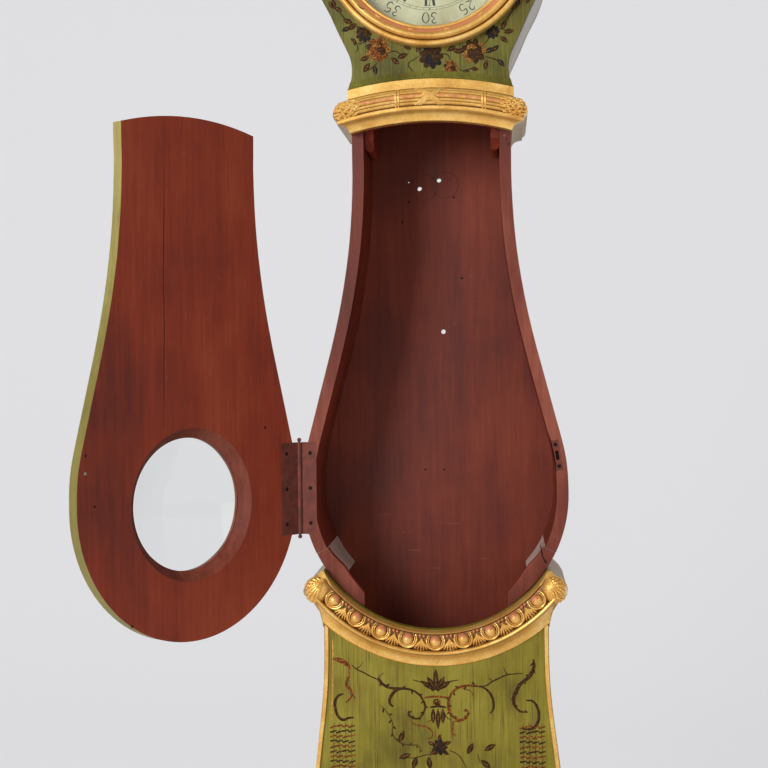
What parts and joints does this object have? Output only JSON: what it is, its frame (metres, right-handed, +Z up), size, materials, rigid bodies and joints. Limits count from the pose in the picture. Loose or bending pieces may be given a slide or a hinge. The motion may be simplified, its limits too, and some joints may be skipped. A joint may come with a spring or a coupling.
{
  "type": "mora clock",
  "caption": "Pear-shaped painted longcase clock with gilt mouldings, a round glazed dial, an opened waist door with a glass lens, a lift-off hood and its wheelwork.",
  "frame": {"origin": "centre of the floor area under the plinth, midway between the waist's front plane and the back face", "axes": "+X to the right seen from the front, +Y to the back, +Z up; the door rests open toward -X and -Y"},
  "size_m": [0.7761, 0.5358, 2.1697],
  "materials": {
    "red_paint": "thin red-brown distemper on pine, scuffed",
    "green_paint": "olive-green oil paint with painted flowers and scrolls, worn",
    "pale_paint": "pale grey-beige oil paint, worn",
    "gilding": "water gilding over gesso and red bole, rubbed",
    "dial_paint": "pale greenish-white dial paint with black numerals",
    "brass": "aged brass",
    "steel": "dark blued steel",
    "iron": "wrought iron, painted over or browned",
    "glass": "old clear glass"
  },
  "bodies": {
    "case": {"waist_side_left": "red_paint", "waist_side_right": "red_paint", "waist_rims": "red_paint", "back_board": "red_paint", "neck_rail": "red_paint", "seat_cheeks": "red_paint", "seat_board": "red_paint", "strike_plate": "iron", "hinge_case_leaf": "iron", "hinge_pin": "iron", "case_screws": "iron", "upper_moulding": "gilding", "lower_moulding": "gilding", "moulding_returns": "pale_paint", "base_front": "green_paint", "base_sides": "pale_paint", "base_beads": "gilding", "base_floor": "red_paint", "belly_blocks": "red_paint", "plinth": "green_paint", "plinth_moulding": "gilding", "front_plate": "brass", "back_plate": "brass", "dial_plate": "dial_paint", "back_cock": "brass", "bell": "brass", "bell_stand": "steel"},
    "door": {"door_board": "red_paint", "door_lens": "glass", "door_lens_ring": "gilding", "hinge_door_leaf": "iron", "hinge_door_screws": "iron", "lock_case": "iron", "escutcheon": "brass"},
    "bolt": {"lock_bolt": "iron"},
    "hood": {"hood_front": "green_paint", "hood_fillet": "gilding", "hood_sides": "pale_paint", "hood_crown": "pale_paint", "crown_moulding": "gilding", "crest": "gilding", "bezel_hinge_leaf": "brass"},
    "bezel": {"bezel_ring": "gilding", "dial_glass": "glass"},
    "minute": {"cannon_wheel": "brass", "minute_hand": "steel"},
    "hour": {"hour_wheel": "brass", "hour_hand": "steel"},
    "minute_wheel": {"minute_wheel": "brass"},
    "escape": {"escape_wheel": "brass"},
    "third": {"third_wheel": "brass"},
    "centre": {"centre_wheel": "brass"},
    "going": {"going_wheel": "brass", "going_barrel": "brass"},
    "fly": {"fly": "brass"},
    "pin": {"pin_wheel": "brass"},
    "striking": {"strike_wheel": "brass", "strike_barrel": "brass"},
    "anchor": {"anchor": "steel"},
    "hammer": {"hammer": "iron"}
  },
  "joints": [
    {"name": "door_hinge", "type": "hinge", "parent": "case", "child": "door", "pos_m": [-0.224, -0.10025, 0.907], "axis": [0, 0, 1], "range_deg": [-20, 130.3]},
    {"name": "bolt_throw", "type": "slide", "parent": "door", "child": "bolt", "axis": [0.7604, -0.6494, 0], "range_m": [0, 0.008]},
    {"name": "hood_slide", "type": "slide", "parent": "case", "child": "hood", "axis": [0, -1, 0], "range_m": [0, 0.24]},
    {"name": "bezel_hinge", "type": "hinge", "parent": "hood", "child": "bezel", "pos_m": [-0.182, -0.1221, 1.802], "axis": [0, 0, -1], "range_deg": [0, 100]},
    {"name": "minute_turn", "type": "hinge", "parent": "case", "child": "minute", "pos_m": [0, -0.1, 1.802], "axis": [0, 1, 0], "continuous": true},
    {"name": "hour_turn", "type": "hinge", "parent": "case", "child": "hour", "pos_m": [0, -0.1, 1.802], "axis": [0, 1, 0], "continuous": true},
    {"name": "minute_wheel_turn", "type": "hinge", "parent": "case", "child": "minute_wheel", "pos_m": [0.03118, -0.07, 1.82], "axis": [0, 1, 0], "continuous": true},
    {"name": "escape_turn", "type": "hinge", "parent": "case", "child": "escape", "pos_m": [0, -0.03, 1.84291], "axis": [0, 1, 0], "continuous": true},
    {"name": "third_turn", "type": "hinge", "parent": "case", "child": "third", "pos_m": [0.0136, -0.03, 1.82556], "axis": [0, 1, 0], "continuous": true},
    {"name": "centre_turn", "type": "hinge", "parent": "case", "child": "centre", "pos_m": [0, -0.03, 1.802], "axis": [0, 1, 0], "continuous": true},
    {"name": "going_turn", "type": "hinge", "parent": "case", "child": "going", "pos_m": [0.045, -0.03, 1.785], "axis": [0, 1, 0], "continuous": true},
    {"name": "fly_turn", "type": "hinge", "parent": "case", "child": "fly", "pos_m": [-0.042, -0.03, 1.84994], "axis": [0, 1, 0], "continuous": true},
    {"name": "pin_turn", "type": "hinge", "parent": "case", "child": "pin", "pos_m": [-0.03, -0.03, 1.83071], "axis": [0, 1, 0], "continuous": true},
    {"name": "striking_turn", "type": "hinge", "parent": "case", "child": "striking", "pos_m": [-0.045, -0.03, 1.785], "axis": [0, 1, 0], "continuous": true},
    {"name": "anchor_swing", "type": "hinge", "parent": "case", "child": "anchor", "pos_m": [0, 0, 1.87091], "axis": [0, 1, 0], "range_deg": [-2, 2]},
    {"name": "hammer_swing", "type": "hinge", "parent": "case", "child": "hammer", "pos_m": [-0.062, -0.03, 1.862], "axis": [0, 1, 0], "range_deg": [-12, 0]}
  ],
  "couplings": [
    {"joint": "hour_turn", "follows": "minute_turn", "ratio": 0.083333},
    {"joint": "minute_wheel_turn", "follows": "minute_turn", "ratio": -1},
    {"joint": "third_turn", "follows": "escape_turn", "ratio": -0.125},
    {"joint": "centre_turn", "follows": "escape_turn", "ratio": 0.016667},
    {"joint": "going_turn", "follows": "escape_turn", "ratio": -0.0018519},
    {"joint": "pin_turn", "follows": "striking_turn", "ratio": -9},
    {"joint": "fly_turn", "follows": "striking_turn", "ratio": 67.5}
  ]
}
